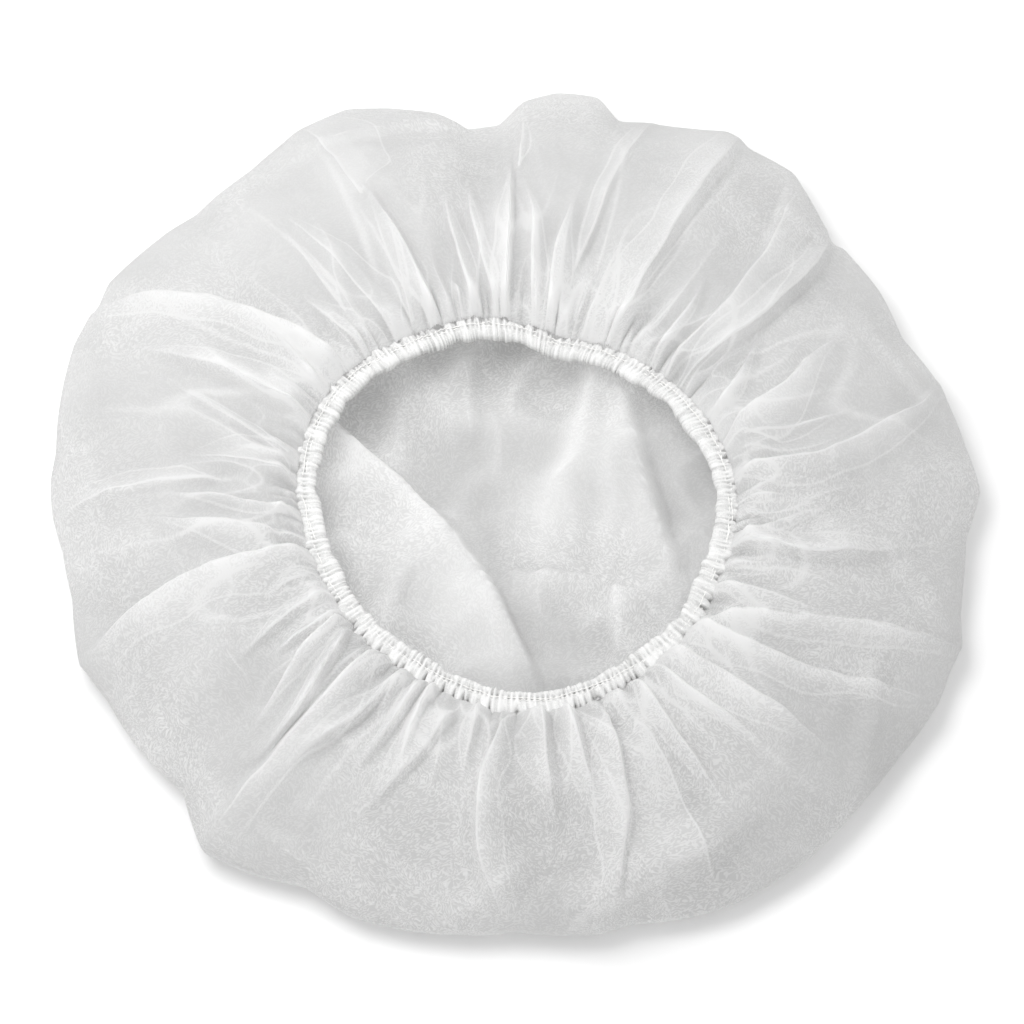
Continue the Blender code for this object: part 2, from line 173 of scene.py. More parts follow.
# Folds of the upper layer. Angles are where the crest starts, at its middle and where it ends,
# the spans are shares of the way from hem to rim, widths are shares of FOLD_WIDTH at both ends,
# the rise is a share of PLEAT_RISE, and lean pushes the crest sideways in shares of its width.
FOLDS = (
    # start, middle, end, from, to, wide, far wide, rise, lean
    (357.5, 357.5, 358.0, 0.00, 0.25, 0.35, 0.20, 0.50, 0.2),
    (5.5, 7.5, 19.0, 0.00, 1.00, 0.42, 0.20, 0.70, 0.5),
    (13.2, 13.5, 15.0, 0.08, 0.60, 0.20, 0.12, 0.35, 0.0),
    (15.5, 22.5, 30.0, 0.00, 0.78, 0.48, 0.18, 1.00, 0.9),
    (24.5, 29.0, 38.0, 0.00, 0.42, 0.26, 0.12, 0.60, 0.5),
    (37.5, 38.5, 44.5, 0.00, 1.00, 0.32, 0.20, 0.80, -0.6),
    (42.5, 44.5, 52.0, 0.00, 0.97, 0.28, 0.50, 0.80, 0.6),
    (47.5, 49.5, 52.0, 0.00, 0.42, 0.30, 0.12, 0.60, 0.3),
    (61.5, 61.7, 62.0, 0.00, 1.00, 0.42, 0.28, 1.00, -0.8),
    (69.5, 69.0, 69.0, 0.00, 0.38, 0.24, 0.15, 0.50, 0.2),
    (72.5, 72.0, 72.0, 0.00, 0.22, 0.18, 0.10, 0.40, 0.0),
    (76.5, 74.5, 73.0, 0.22, 1.00, 0.15, 0.20, 0.35, -0.5),
    (81.0, 80.5, 80.0, 0.00, 0.52, 0.35, 0.18, 0.80, 0.5),
    (85.2, 86.0, 89.0, 0.00, 0.57, 0.24, 0.15, 0.60, 0.4),
    (89.3, 89.0, 89.0, 0.60, 0.92, 0.12, 0.10, 0.30, 0.0),
    (92.4, 91.5, 90.5, 0.00, 0.75, 0.28, 0.12, 0.90, -0.7),
    (95.0, 97.5, 97.5, 0.00, 0.64, 0.18, 0.14, 0.50, 0.4),
    (101.7, 101.8, 102.0, 0.00, 0.58, 0.24, 0.16, 0.60, 0.5),
    (104.5, 104.5, 104.5, 0.00, 0.15, 0.25, 0.20, 0.70, 0.0),
    (112.0, 113.0, 114.0, 0.00, 0.62, 0.34, 0.20, 0.80, -0.6),
    (118.5, 115.0, 113.5, 0.02, 0.44, 0.12, 0.10, 0.30, 0.0),
    (115.0, 115.5, 116.0, 0.55, 1.00, 0.50, 0.60, 0.40, 0.3),
    (124.0, 125.5, 127.0, 0.00, 0.75, 0.80, 0.25, 0.60, 0.2),
    (130.0, 129.5, 128.0, 0.18, 0.66, 0.14, 0.12, 0.30, 0.0),
    (134.0, 134.0, 134.0, 0.00, 0.38, 0.42, 0.22, 0.70, 0.5),
    (140.5, 145.0, 152.0, 0.00, 1.00, 0.26, 0.22, 0.80, -0.8),
    (149.0, 145.0, 144.5, 0.02, 0.57, 0.14, 0.12, 0.35, 0.0),
    (157.5, 156.5, 156.0, 0.00, 0.78, 0.52, 0.20, 1.00, 0.8),
    (169.0, 165.0, 160.0, 0.04, 0.57, 0.22, 0.12, 0.50, 0.5),
    (174.0, 174.0, 174.0, 0.02, 0.47, 0.65, 0.60, 0.55, 0.2),
    (178.5, 179.5, 181.0, 0.30, 0.97, 0.20, 0.24, 0.35, 0.3),
    (186.5, 183.5, 180.0, 0.00, 0.62, 0.20, 0.14, 0.60, -0.5),
    (193.0, 189.0, 183.5, 0.10, 0.70, 0.42, 0.14, 0.70, -0.6),
    (192.5, 192.5, 192.5, 0.00, 0.22, 0.36, 0.26, 0.50, 0.0),
    (199.5, 199.5, 202.0, 0.00, 1.00, 0.34, 0.38, 1.00, -1.1),
    (205.5, 205.5, 206.0, 0.00, 0.27, 0.26, 0.16, 0.50, 0.3),
    (212.3, 213.0, 215.5, 0.00, 0.54, 0.25, 0.12, 0.60, 0.4),
    (218.2, 218.2, 218.2, 0.00, 0.44, 0.20, 0.14, 0.60, 0.0),
    (219.5, 223.0, 226.7, 0.02, 0.70, 0.22, 0.14, 0.80, -0.6),
    (222.5, 229.5, 228.5, 0.02, 0.74, 0.20, 0.14, 0.90, 0.6),
    (233.0, 232.6, 230.8, 0.00, 1.00, 0.32, 0.34, 0.90, -0.5),
    (243.0, 237.5, 233.0, 0.04, 0.80, 0.22, 0.14, 0.80, 0.7),
    (242.5, 242.0, 241.5, 0.00, 0.30, 0.26, 0.20, 0.60, 0.2),
    (247.0, 245.5, 243.0, 0.00, 0.60, 0.18, 0.12, 0.70, 0.4),
    (249.5, 249.5, 249.5, 0.00, 0.57, 0.15, 0.12, 0.60, 0.3),
    (257.0, 251.5, 246.0, 0.08, 0.77, 0.34, 0.18, 0.50, 0.8),
    (261.2, 261.2, 261.2, 0.02, 0.47, 0.20, 0.14, 0.40, 0.2),
    (269.0, 264.5, 269.0, 0.06, 1.00, 0.20, 0.26, 0.80, -0.8),
    (275.7, 275.8, 276.0, 0.00, 0.68, 0.42, 0.36, 0.90, 0.4),
    (281.5, 282.0, 283.0, 0.00, 0.70, 0.36, 0.22, 0.70, 0.5),
    (289.0, 287.0, 281.5, 0.08, 1.00, 0.28, 0.24, 0.60, 1.0),
    (295.0, 295.0, 295.0, 0.20, 1.00, 0.90, 1.00, 0.35, 0.2),
    (299.5, 300.0, 301.0, 0.00, 0.82, 0.22, 0.20, 0.50, 0.5),
    (304.5, 307.0, 311.0, 0.00, 0.67, 0.25, 0.14, 0.70, 0.4),
    (310.5, 314.0, 319.0, 0.00, 0.92, 0.42, 0.24, 1.00, 0.9),
    (319.5, 324.0, 333.0, 0.00, 1.00, 0.28, 0.22, 0.80, 0.7),
    (323.0, 333.5, 341.0, 0.05, 1.00, 0.20, 0.20, 1.00, 0.9),
    (333.0, 334.0, 335.0, 0.00, 0.52, 0.40, 0.32, 0.40, 0.2),
    (344.5, 346.5, 354.5, 0.00, 0.88, 0.22, 0.42, 0.80, -0.9),
    (346.5, 351.5, 357.0, 0.02, 0.44, 0.18, 0.12, 0.60, 0.5),
)

# Three sizes of pleats between the folds, where noise drawn out from hem to rim crosses 0. Size and
# seed are the noise's own, and stretch is how fast it changes on the way out. Painted shade makes the
# cloth darker between the pleats by depth, most at the share deepest and less over fading either way.
# Their crests show as painted highlights, lines from near to far, of a width in the noise's own values.
PLEATS = (
    # name, size, seed, stretch, depth, deepest, fading, width, strength, near, far
    ("fine", 0.0045, 6, 1.0, 0.20, 0.00, 0.25, 0.080, 0.42, 0.02, 0.34),
    ("medium", 0.0100, 7, 1.0, 0.26, 0.22, 0.25, 0.055, 0.44, 0.08, 0.70),
    ("large", 0.0220, 8, 0.6, 0.16, 0.55, 0.30, 0.030, 0.36, 0.30, 1.02),
)

# The rows of stitches: out from the hem's middle in metres, height over it as a share of half its
# thickness, how far the thread dips between two gathers, and the seed of its wandering.
THREAD_ROWS = (
    # out, height, dip, seed
    (0.0003, 0.84, 0.0005, 61),
    (0.0014, 1.06, 0.0009, 62),
)

# Creases of the base: corners in shares of the hem's reach from the pole, then the height as a share
# of BASE_RISE and the slopes left and right of the way it runs, as shares of WRINKLE_WIDTH.
BASE_RIDGES = (
    # corners, height, left slope, right slope
    (
        ((-1.00, 0.62), (-0.63, 0.28), (-0.32, -0.06), (-0.11, -0.39), (0.03, -0.70), (0.16, -1.02)),
        1.1, 0.32, 3.2,
    ),
    (((0.42, 1.00), (0.38, 0.76), (0.29, 0.46), (0.16, 0.14), (0.02, -0.20)), 1.0, 1.9, 0.9),
    (((-0.24, 0.92), (-0.21, 0.46)), 0.4, 0.5, 0.9),
    (((0.46, 0.86), (0.56, 0.50), (0.67, 0.06), (0.80, -0.38)), 1.0, 0.5, 2.6),
    (((-0.02, -0.27), (0.22, -0.30), (0.46, -0.33)), 0.7, 0.4, 1.4),
    (((0.48, -0.33), (0.50, -0.76)), 0.7, 1.2, 0.35),
    (((-0.47, -0.15), (-0.62, -0.46), (-0.62, -0.60), (-0.40, -0.77)), 0.6, 0.6, 1.6),
    (((-0.86, 0.00), (-0.72, -0.20), (-0.68, -0.50)), 0.4, 0.8, 1.0),
)

# Creases by the rim: corners as (degrees, share from hem to rim), then height and slopes as above.
RIM_CREASES = (
    # corners, height, left slope, right slope
    (((207, 0.47), (213, 0.53), (223, 0.54)), 0.5, 0.5, 1.2),
    (((221, 0.98), (227, 0.90), (233, 0.97)), 0.4, 0.5, 0.8),
    (((235, 0.90), (240, 0.92), (248, 0.99)), 0.4, 0.5, 0.8),
    (((276, 1.00), (281, 0.97), (286, 0.92), (297, 0.84), (305, 0.78)), 1.2, 1.6, 0.4),
    (((262, 0.99), (268, 0.90), (273, 0.72)), 0.4, 0.5, 0.7),
    (((318, 0.98), (326, 0.86), (333, 0.70)), 0.4, 0.8, 0.5),
    (((342, 0.98), (348, 0.84), (352, 0.62)), 0.35, 0.8, 0.5),
    (((12, 0.98), (20, 0.88), (31, 0.80)), 0.35, 0.6, 0.6),
    (((44, 0.99), (50, 0.84), (55, 0.62)), 0.5, 0.5, 0.9),
    (((66, 0.97), (72, 0.80), (75, 0.60)), 0.35, 0.8, 0.5),
    (((96, 0.98), (103, 0.88), (114, 0.84), (124, 0.94)), 0.5, 0.5, 1.0),
    (((128, 0.97), (136, 0.80), (139, 0.60)), 0.35, 0.7, 0.5),
    (((150, 0.98), (157, 0.86), (166, 0.80)), 0.35, 0.5, 0.8),
    (((170, 0.97), (178, 0.84), (184, 0.66)), 0.35, 0.5, 0.8),
    (((188, 0.98), (194, 0.86), (197, 0.70)), 0.35, 0.5, 0.8),
)


def eased(share):
    """0 to 1 with no corner at either end."""
    share = np.clip(share, 0.0, 1.0)
    return share * share * (3.0 - 2.0 * share)


def bell(value, middle, reach):
    """1 where the value is at the middle, falling to a third at the reach to either side."""
    return np.exp(-(((value - middle) / reach) ** 2))


def ridged(values):
    """0 to 1, with a sharp ridge where the noise is 0."""
    return 1.0 - np.minimum(np.abs(values) * 2.2, 1.0)


def around(table, angle):
    """Values at angles of a table of (degrees, value) rows that goes once round."""
    rows = sorted(table)
    angles, values = zip(*rows)
    return np.interp(np.asarray(angle) % 360.0, angles, values, period=360.0)


def smooth_around(table, angle, reach=5.0):
    beside = around(table, angle - reach) + around(table, angle + reach)
    return around(table, angle) / 2 + beside / 4


def through(first, middle, last, share):
    """The curve through three values at shares 0, a half and 1."""
    return (
        first * (1 - share) * (1 - 2 * share)
        + middle * 4 * share * (1 - share)
        + last * share * (2 * share - 1)
    )


def outline_points():
    angles = np.array([a for a, _ in OUTLINE])
    shares = np.array([v for _, v in OUTLINE])
    return np.stack((shares * np.cos(np.radians(angles)), shares * np.sin(np.radians(angles))))


def spread(values):
    return values.max() - values.min()


crown_low, crown_high = (Vector(corner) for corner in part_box("crown"))
hem_low, hem_high = (Vector(corner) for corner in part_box("hem_casing"))
corners = outline_points()
CROWN_RADIUS = (crown_high.x - crown_low.x) / spread(corners[0])
POLE = Vector((-(c.max() + c.min()) / 2 * CROWN_RADIUS for c in corners)).to_3d()
hem_turn = np.arange(0.0, 360.0, 0.5)
HEM_RADIUS = ((hem_high.x - hem_low.x) - HEM_WIDTH) / spread(
    smooth_around(HEM_BENDS, hem_turn) * np.cos(np.radians(hem_turn))
)
HEM_LEVEL = (hem_high.z + hem_low.z) / 2 - HEM_LIFT * 0.1


def hem_reach(angle):
    return HEM_RADIUS * smooth_around(HEM_BENDS, angle) - HEM_FORWARD * np.sin(np.radians(angle))


def hem_level(angle):
    return HEM_LEVEL + HEM_LIFT * smooth_around(HEM_WAVE, angle, 10.0)


def rim_reach(angle):
    near = (around(OUTLINE, angle - 0.6) + around(OUTLINE, angle + 0.6)) / 4
    return CROWN_RADIUS * (around(OUTLINE, angle) / 2 + near)


def cloth_reach(angle, share):
    """Reach of the upper layer at a share of its way from hem to rim."""
    start = hem_reach(angle) + HEM_WIDTH * CLOTH_START
    return start + share * (rim_reach(angle) - start)


def in_front(angle):
    """1 at the front of the hem and 0 all along its back half."""
    return np.maximum(-np.sin(np.radians(angle)), 0.0) ** 2


def placed(angle, reach, level):
    """Points in the frame from polar arrays, as an array of rows x, y, z."""
    turn = np.radians(angle)
    return np.stack(
        (POLE.x + reach * np.cos(turn), POLE.y + reach * np.sin(turn), level + 0.0 * turn), axis=-1
    )


def field(points, size, seed):
    """Soft noise between about -1 and 1 at the points, with bumps of the given size."""
    shift = Vector((seed * 7.31, seed * 3.17, seed * 5.53))
    flat = points.reshape(-1, 3) / size
    return np.array([noise.noise(Vector(p) + shift) for p in flat]).reshape(points.shape[:-1])


def creased(points, size, seed):
    """Noise with sharp ridges, 0 to 1, highest on the ridges."""
    return ridged(field(points, size, seed))


def crumpled(points, large, small, seed):
    """Height of sharp creases of two sizes, all over the cloth."""
    return creased(points, large, seed) ** 2 * 0.0008 + creased(points, small, seed + 1) ** 2 * 0.0003


def ring_faces(low, high, columns):
    """Quads between two rings of vertices that start at the indices low and high."""
    here = np.arange(columns)
    beside = (here + 1) % columns
    return np.stack((low + here, low + beside, high + beside, high + here), axis=1).tolist()


def step_down(low, high, columns):
    """Faces from a ring of the given number of vertices to one with a third as many."""
    faces = []
    for index in range(columns // 3):
        start = 3 * index
        edge = [low + (start + step) % columns for step in range(4)]
        faces.append([*edge, high + (index + 1) % (columns // 3), high + index])
    return faces


def sheet_mesh(name, points, faces):
    mesh = bpy.data.meshes.new(name)
    mesh.from_pydata(points.reshape(-1, 3).tolist(), [], faces)
    mesh.shade_smooth()
    mesh.update()
    return mesh


def add_piece(name, data, material):
    piece = bpy.data.objects.new(name, data)
    bpy.context.scene.collection.objects.link(piece)
    data.materials.append(material)
    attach(piece, "root")
    return piece


def store(mesh, name, values):
    """Keep a value for each vertex, which the material reads by name."""
    attribute = mesh.attributes.new(name, "FLOAT", "POINT")
    attribute.data.foreach_set("value", np.asarray(values, dtype=np.float32).ravel())


FOLD_FIELDS = ("band_a", "band_b", "firm_a", "firm_b", "crest_highlight")


def fold_fields(angle, share, reach):
    """What the folds do at each point of the upper layer, as a dictionary of arrays.

    rise and push are in metres. band_a and band_b say how far a point lies inside the double cloth of
    the nearest fold, in metres and negative outside, for every second fold each, so that two bands
    that cross both show; firm_a and firm_b say how plain that band is. A painted highlight is 1 on a
    crest and fades down its gentle side.
    """
    plan = placed(angle, reach, 0.0)
    stray = field(plan, 0.016, 9) * STRAY
    uneven = 1.0 + 0.45 * field(plan, 0.020, 10)
    # Folds are pinched by the hem, fan out and calm down towards the rim, and open from the hem.
    pinched = 0.6 + 0.4 * eased(share / 0.15)
    fanned = (reach / HEM_RADIUS) ** 0.7
    calm = 1.0 - 0.55 * eased((share - 0.75) / 0.25)
    opened = 0.45 + 0.55 * eased(share / 0.22)
    from_hem = 0.25 + 0.75 * eased(share / 0.10)
    rise = np.zeros_like(reach)
    push = np.zeros_like(reach)
    crest_highlight = np.zeros_like(reach)
    bands = [np.full_like(reach, -FOLD_WIDTH), np.full_like(reach, -FOLD_WIDTH)]
    firm = [np.zeros_like(reach), np.zeros_like(reach)]
    for row, (start, middle, end, low, high, wide, far_wide, tall, lean) in enumerate(FOLDS):
        way = (share - low) / (high - low)
        inside = (way >= 0.0) & (way <= 1.0)
        way = np.clip(way, 0.0, 1.0)
        left = 1.0 - (way if high < NEAR_RIM else way * 0.65)
        skew = min(abs(lean), 1.0)
        width = FOLD_WIDTH * (wide + (far_wide - wide) * way) * pinched * fanned
        crest = through(start, middle, end, way)
        off = np.radians((angle - crest + 180.0) % 360.0 - 180.0) * reach + stray
        steep_side = off * (1.0 if lean >= 0 else -1.0)
        steep, gentle = width * (1.0 - 0.4 * skew), width * (1.2 + 1.8 * skew)
        hump = np.clip(1.0 - np.abs(steep_side) / np.where(steep_side > 0, steep, gentle), 0.0, 1.0)
        round_hump = 0.35 * eased(hump) + 0.65 * hump**1.3
        fade_in = eased(way / 0.12) if low > 0.0 else from_hem
        fade = fade_in * eased(left / 0.45) * (1.0 - 0.35 * way) * inside * calm
        rise += (PLEAT_RISE * tall * fade * round_hump) ** 2
        push += lean * width * 0.35 * fade * round_hump
        plain = fade * min(0.4 + 0.6 * tall, 1.0)
        # Painted highlight: full on the crest, fading down the fold's gentle side.
        crest_highlight = np.maximum(crest_highlight, np.where(steep_side <= 0, plain * hump**1.3, 0.0))
        taper = eased(left / 0.75) ** 0.8 * opened
        if low > NEAR_HEM:
            taper = taper * eased(way / 0.3)
        half = 0.66 * width * (1.0 + 0.5 * skew) * taper * uneven
        band = np.where(inside, half - np.abs(steep_side + half), -FOLD_WIDTH)
        ply = row % 2
        sure = eased(left / 0.55) * np.where(steep_side > -half, 1.0, 0.55)
        firm[ply] = np.where(band > bands[ply], sure, firm[ply])
        bands[ply] = np.maximum(bands[ply], band)
    return {
        "rise": np.sqrt(rise),
        "push": push,
        "crest_highlight": crest_highlight,
        "band_a": bands[0],
        "band_b": bands[1],
        "firm_a": firm[0],
        "firm_b": firm[1],
    }


def pouches(angle, size, seed):
    """Uneven gathers round the hem: 0 in the dip between two, up to 1 on one."""
    return np.minimum(np.abs(field(placed(angle, HEM_RADIUS, 0.0), size, seed)) * 2.8, 1.0) ** 0.7


def stitch_phase(angle):
    """A phase that grows by half a turn for each stitch, a little faster and slower by turns."""
    ring = placed(angle, HEM_RADIUS, 0.0)
    even = STITCHES * np.radians(angle) / 2
    return even + 1.6 * field(ring, 0.012, 51) + 0.8 * field(ring, 0.004, 52)


def pleat_noise(angle, share, size, seed):
    """Soft noise drawn out along the way from hem to rim."""
    return field(placed(angle, HEM_RADIUS, share * PLEAT_RUN), size, seed)


def upper_layer():
    """Rings of the upper layer from the hem to the rim, with the folds' fields."""
    share = np.linspace(0.0, 1.0, UPPER_RINGS)[:, None] ** 1.15  # rings lie closer by the hem
    turns = np.arange(COLUMNS) * (360.0 / COLUMNS)
    angle = turns[None, :] + 0.0 * share
    reach = cloth_reach(angle, share)
    plan = placed(angle, reach, 0.0)
    edge = np.where(share < TOP_SHARE, hem_level(angle) + HEM_THICK * CLOTH_LEVEL, RIM_LEVEL)
    smooth = edge + np.interp(share, *zip(*MERIDIAN)) * (CROWN_HEIGHT - edge)
    folds = fold_fields(angle, share, reach)
    middle = np.sin(np.pi * share) ** 0.7
    broad = field(plan, 0.045, 1) * BROAD_RISE * middle
    crumple = crumpled(plan, 0.020, 0.009, 2) * middle
    drops = pouches(turns, DROP, 33)[None, :]
    # Painted light on the tops of the gathers by the hem and painted shade in their dips.
    shades = (drops - 0.52) * DROP_LIGHT_AND_SHADE * bell(share, 0.0, 0.09)
    # Painted shade between the pleats and painted light on them.
    valley_shade = 0.0
    for name, size, seed, stretch, depth, deepest, fading, *_ in PLEATS:
        folds[name] = pleat_noise(angle, share * stretch, size, seed)
        valley_shade = valley_shade + (ridged(folds[name]) - 0.5) * depth * bell(share, deepest, fading)
    pleats = ridged(folds["fine"]) * FINE_RISE * (1.0 - eased(share / 0.35)) * eased(share / 0.03)
    pleats += ridged(folds["medium"]) * MEDIUM_RISE * bell(share, 0.25, 0.28)
    pleats += ridged(folds["large"]) * LARGE_RISE * bell(share, 0.62, 0.36)
    puff = drops * DROP_RISE * bell(share, 0.05, 0.06)
    serrated = np.where(np.arange(COLUMNS) % 2, TOOTH, -TOOTH)[None, :] * (share < 0.001)
    rim_height, crease = crease_fields(plan, rim_lines(), PLEAT_RISE * 0.6)
    droop = DROOP * (0.3 + 0.7 * in_front(angle)) * bell(share, 0.0, 0.05)
    level = smooth + folds["rise"] + broad + crumple + pleats + puff - SAG * middle - droop
    level = level + rim_height * eased((1.0 - share) / 0.05 + 0.35) + serrated
    angle = angle + np.degrees(folds["push"] / reach)
    # The gathered tone is painted light and shade of the pleats and of the gathers by the hem.
    folds.update(share=share + 0.0 * angle, crease=crease, gathered=valley_shade + shades)
    return placed(angle, reach, level), folds


def crease_fields(plan, lines, rise):
    """Height of the creases over the plan, and the distance to the closest crisp one.

    The distance grows where a crease fades, so that its painted highlight ends before it does.
    """
    height = np.zeros(plan.shape[:-1])
    closest = np.full(height.shape, WRINKLE_WIDTH)
    stray = field(plan, 0.009, 14) * STRAY
    for line, tall, left, right in lines:
        nearest = np.full(height.shape, np.inf)
        side = np.zeros(height.shape)
        way = np.zeros(height.shape)
        total = len(line) - 1
        for index, (start, end) in enumerate(zip(line, line[1:])):
            run = end - start
            gap = plan[..., :2] - start
            along = np.clip((gap @ run) / (run @ run), 0.0, 1.0)
            off = gap - along[..., None] * run
            far = np.hypot(off[..., 0], off[..., 1])
            closer = far < nearest
            cross = run[0] * gap[..., 1] - run[1] * gap[..., 0]
            nearest = np.where(closer, far, nearest)
            side = np.where(closer, np.sign(cross), side)
            way = np.where(closer, (index + along) / total, way)
        slope = np.where(side > 0, left, right) * WRINKLE_WIDTH
        drop = np.clip(1.0 - nearest / slope, 0.0, 1.0)
        drop = eased(drop) * 0.4 + drop * 0.6
        fade = eased(way / 0.08 + 0.4) * eased((1.0 - way) / 0.3 + 0.1)
        height = np.maximum(height, rise * tall * fade * drop)
        if min(left, right) < CRISP:
            beside = np.abs(nearest * np.where(side == 0, 1, side) + stray)
            closest = np.minimum(closest, beside * 0.8 / tall + (1.0 - fade) * LINE_WIDTH)
    return height, closest


def base_lines():
    middle = np.array(POLE.xy)
    return [([np.array(c) * HEM_RADIUS + middle for c in line], *rest) for line, *rest in BASE_RIDGES]


def rim_lines():
    lines = []
    for line, *rest in RIM_CREASES:
        places = [placed(angle, cloth_reach(angle, share), 0.0)[:2] for angle, share in line]
        lines.append((places, *rest))
    return lines


def base_layer():
    """Rings of the base from the rim to the middle, with the creases' height and distance."""
    share = np.linspace(1.0, 0.0, BASE_RINGS)[:, None] ** 0.85  # rings lie closer by the rim
    angle = np.arange(BASE_COLUMNS)[None, :] * (360.0 / BASE_COLUMNS) + 0.0 * share
    table = rim_reach(angle) - RIM_TUCK
    reach = REST_RADIUS + share * (table - REST_RADIUS)
    plan = placed(angle, reach, 0.0)
    calm = eased((1.0 - share) / 0.1) * eased(share / 0.08)
    height, crease = crease_fields(plan, base_lines(), BASE_RISE)
    height = height + creased(plan, 0.024, 15) ** 1.5 * BASE_CRUMPLE
    soft = (field(plan, 0.030, 11) + 0.6) * 0.0014
    fine = crumpled(plan, 0.016, 0.007, 12)
    return placed(angle, reach, np.maximum((height + soft + fine) * calm, 0.0)), height, crease


def rim_turn(rim):
    """Rings that round the rim, from just below the upper layer's last ring to the table."""
    middle = np.array((POLE.x, POLE.y))
    out = rim[:, :2] - middle
    reach = np.hypot(out[:, 0], out[:, 1])
    rings = []
    for turn in RIM_TURNS:
        tuck = RIM_TUCK * (1.0 - math.cos(turn * math.pi / 2)) * 0.9
        level = rim[:, 2] * (1.0 - math.sin(turn * math.pi / 2))
        rings.append(np.column_stack((middle + out * ((reach - tuck) / reach)[:, None], level)))
    return np.stack(rings)


class Shade:
    """Short names for the nodes of one material."""

    def __init__(self, name):
        self.material = bpy.data.materials.new(name)
        self.material.use_nodes = True
        self.nodes = self.material.node_tree.nodes
        self.links = self.material.node_tree.links
        self.shader = self.nodes["Principled BSDF"]
        self.place = self.nodes.new("ShaderNodeTexCoord").outputs["Object"]

    def feed(self, socket, value):
        """Link an output to the socket, or set the constant on it."""
        if hasattr(value, "is_output"):
            self.links.new(value, socket)
        else:
            socket.default_value = value

    def set(self, node, **values):
        for name, value in values.items():
            self.feed(node.inputs[name.replace("_", " ")], value)
        return node

    def math(self, operation, *values):
        node = self.nodes.new("ShaderNodeMath")
        node.operation = operation
        for socket, value in zip(node.inputs, values):
            self.feed(socket, value)
        return node.outputs[0]

    def add(self, tone, value, weight):
        return self.math("MULTIPLY_ADD", value, weight, tone)

    def noise(self, place, scale, distortion=0.0):
        node = self.nodes.new("ShaderNodeTexNoise")
        return self.set(node, Vector=place, Scale=scale, Detail=0.0, Distortion=distortion)

    def strand(self, scale, distortion, thin):
        """1 along curly lines, where the noise crosses its middle."""
        wave = self.noise(self.place, scale, distortion).outputs["Fac"]
        gap = self.math("ABSOLUTE", self.math("SUBTRACT", wave, 0.5))
        return self.math("MAXIMUM", self.math("SUBTRACT", 1.0, self.math("MULTIPLY", gap, thin)), 0.0)

    def wavy_place(self, scale, reach):
        """The place, shifted here and there by soft noise."""
        wave = self.noise(self.place, scale)
        shift = self.nodes.new("ShaderNodeVectorMath")
        shift.operation = "MULTIPLY_ADD"
        self.links.new(wave.outputs["Color"], shift.inputs[0])
        shift.inputs[1].default_value = (reach, reach, reach)
        self.links.new(self.place, shift.inputs[2])
        return shift.outputs[0]

    def strokes(self, place, turn, short):
        """Thin hairs side by side, all brushed one way."""
        aim = self.nodes.new("ShaderNodeMapping")
        aim.vector_type = "TEXTURE"
        long = 2.6 * short
        self.set(aim, Vector=place, Rotation=(0.0, 0.0, math.radians(turn)), Scale=(long, short, short))
        return self.between(self.noise(aim.outputs[0], 1.0).outputs["Fac"], 0.45, 0.62)

    def fibres(self, short):
        """Brushed hairs that run another way in each patch of the cloth."""
        place = self.wavy_place(260.0, 0.0035)
        patch = self.stored("patch")
        first = self.strokes(place, 20.0, short)
        second = self.strokes(place, 82.0, short)
        third = self.strokes(place, 140.0, short)
        total = self.math("MULTIPLY", first, self.between(patch, 0.05, -0.20))
        total = self.add(total, third, self.between(patch, -0.05, 0.20))
        gap = self.math("ABSOLUTE", patch)
        return self.add(total, second, self.between(gap, 0.26, 0.08))

    def between(self, value, low, high):
        """0 where the value is at low or below, 1 at high or above, smooth between."""
        node = self.nodes.new("ShaderNodeMapRange")
        node.interpolation_type = "SMOOTHSTEP"
        self.set(node, Value=value, From_Min=min(low, high), From_Max=max(low, high))
        return node.outputs[0] if low < high else self.math("SUBTRACT", 1.0, node.outputs[0])

    def line(self, value, half, soft):
        """1 where the value is near 0."""
        return self.between(self.math("ABSOLUTE", value), soft, half)

    def stored(self, name):
        node = self.nodes.new("ShaderNodeAttribute")
        node.attribute_name = name
        return node.outputs["Fac"]

    def mix(self, factor, colours):
        """The first colour where the factor is 0, the second where it is 1, and on beyond them."""
        node = self.nodes.new("ShaderNodeMix")
        node.data_type = "RGBA"
        node.clamp_factor = False
        self.set(node, Factor=factor)
        node.inputs["A"].default_value = (*colours[0], 1.0)
        node.inputs["B"].default_value = (*colours[1], 1.0)
        return node.outputs["Result"]

    def bump(self, height, strength, distance):
        node = self.nodes.new("ShaderNodeBump")
        return self.set(node, Height=height, Strength=strength, Distance=distance).outputs["Normal"]

    def cloth(self, tone, colours, through_share, normal=None):
        """A matt sheet that lets a share of the light through, no whiter than its second colour."""
        colour = self.mix(self.math("MINIMUM", tone, 1.0), colours)
        self.set(self.shader, Base_Color=colour, Roughness=0.95, Specular_IOR_Level=0.2)
        self.set(self.shader, Sheen_Weight=0.25, Sheen_Roughness=0.5)
        through = self.set(self.nodes.new("ShaderNodeBsdfTranslucent"), Color=colour)
        if normal is not None:
            self.set(self.shader, Normal=normal)
            self.set(through, Normal=normal)
        mixed = self.set(self.nodes.new("ShaderNodeMixShader"), Fac=through_share)
        self.links.new(self.shader.outputs["BSDF"], mixed.inputs[1])
        self.links.new(through.outputs["BSDF"], mixed.inputs[2])
        self.links.new(mixed.outputs["Shader"], self.nodes["Material Output"].inputs["Surface"])
        return self.material


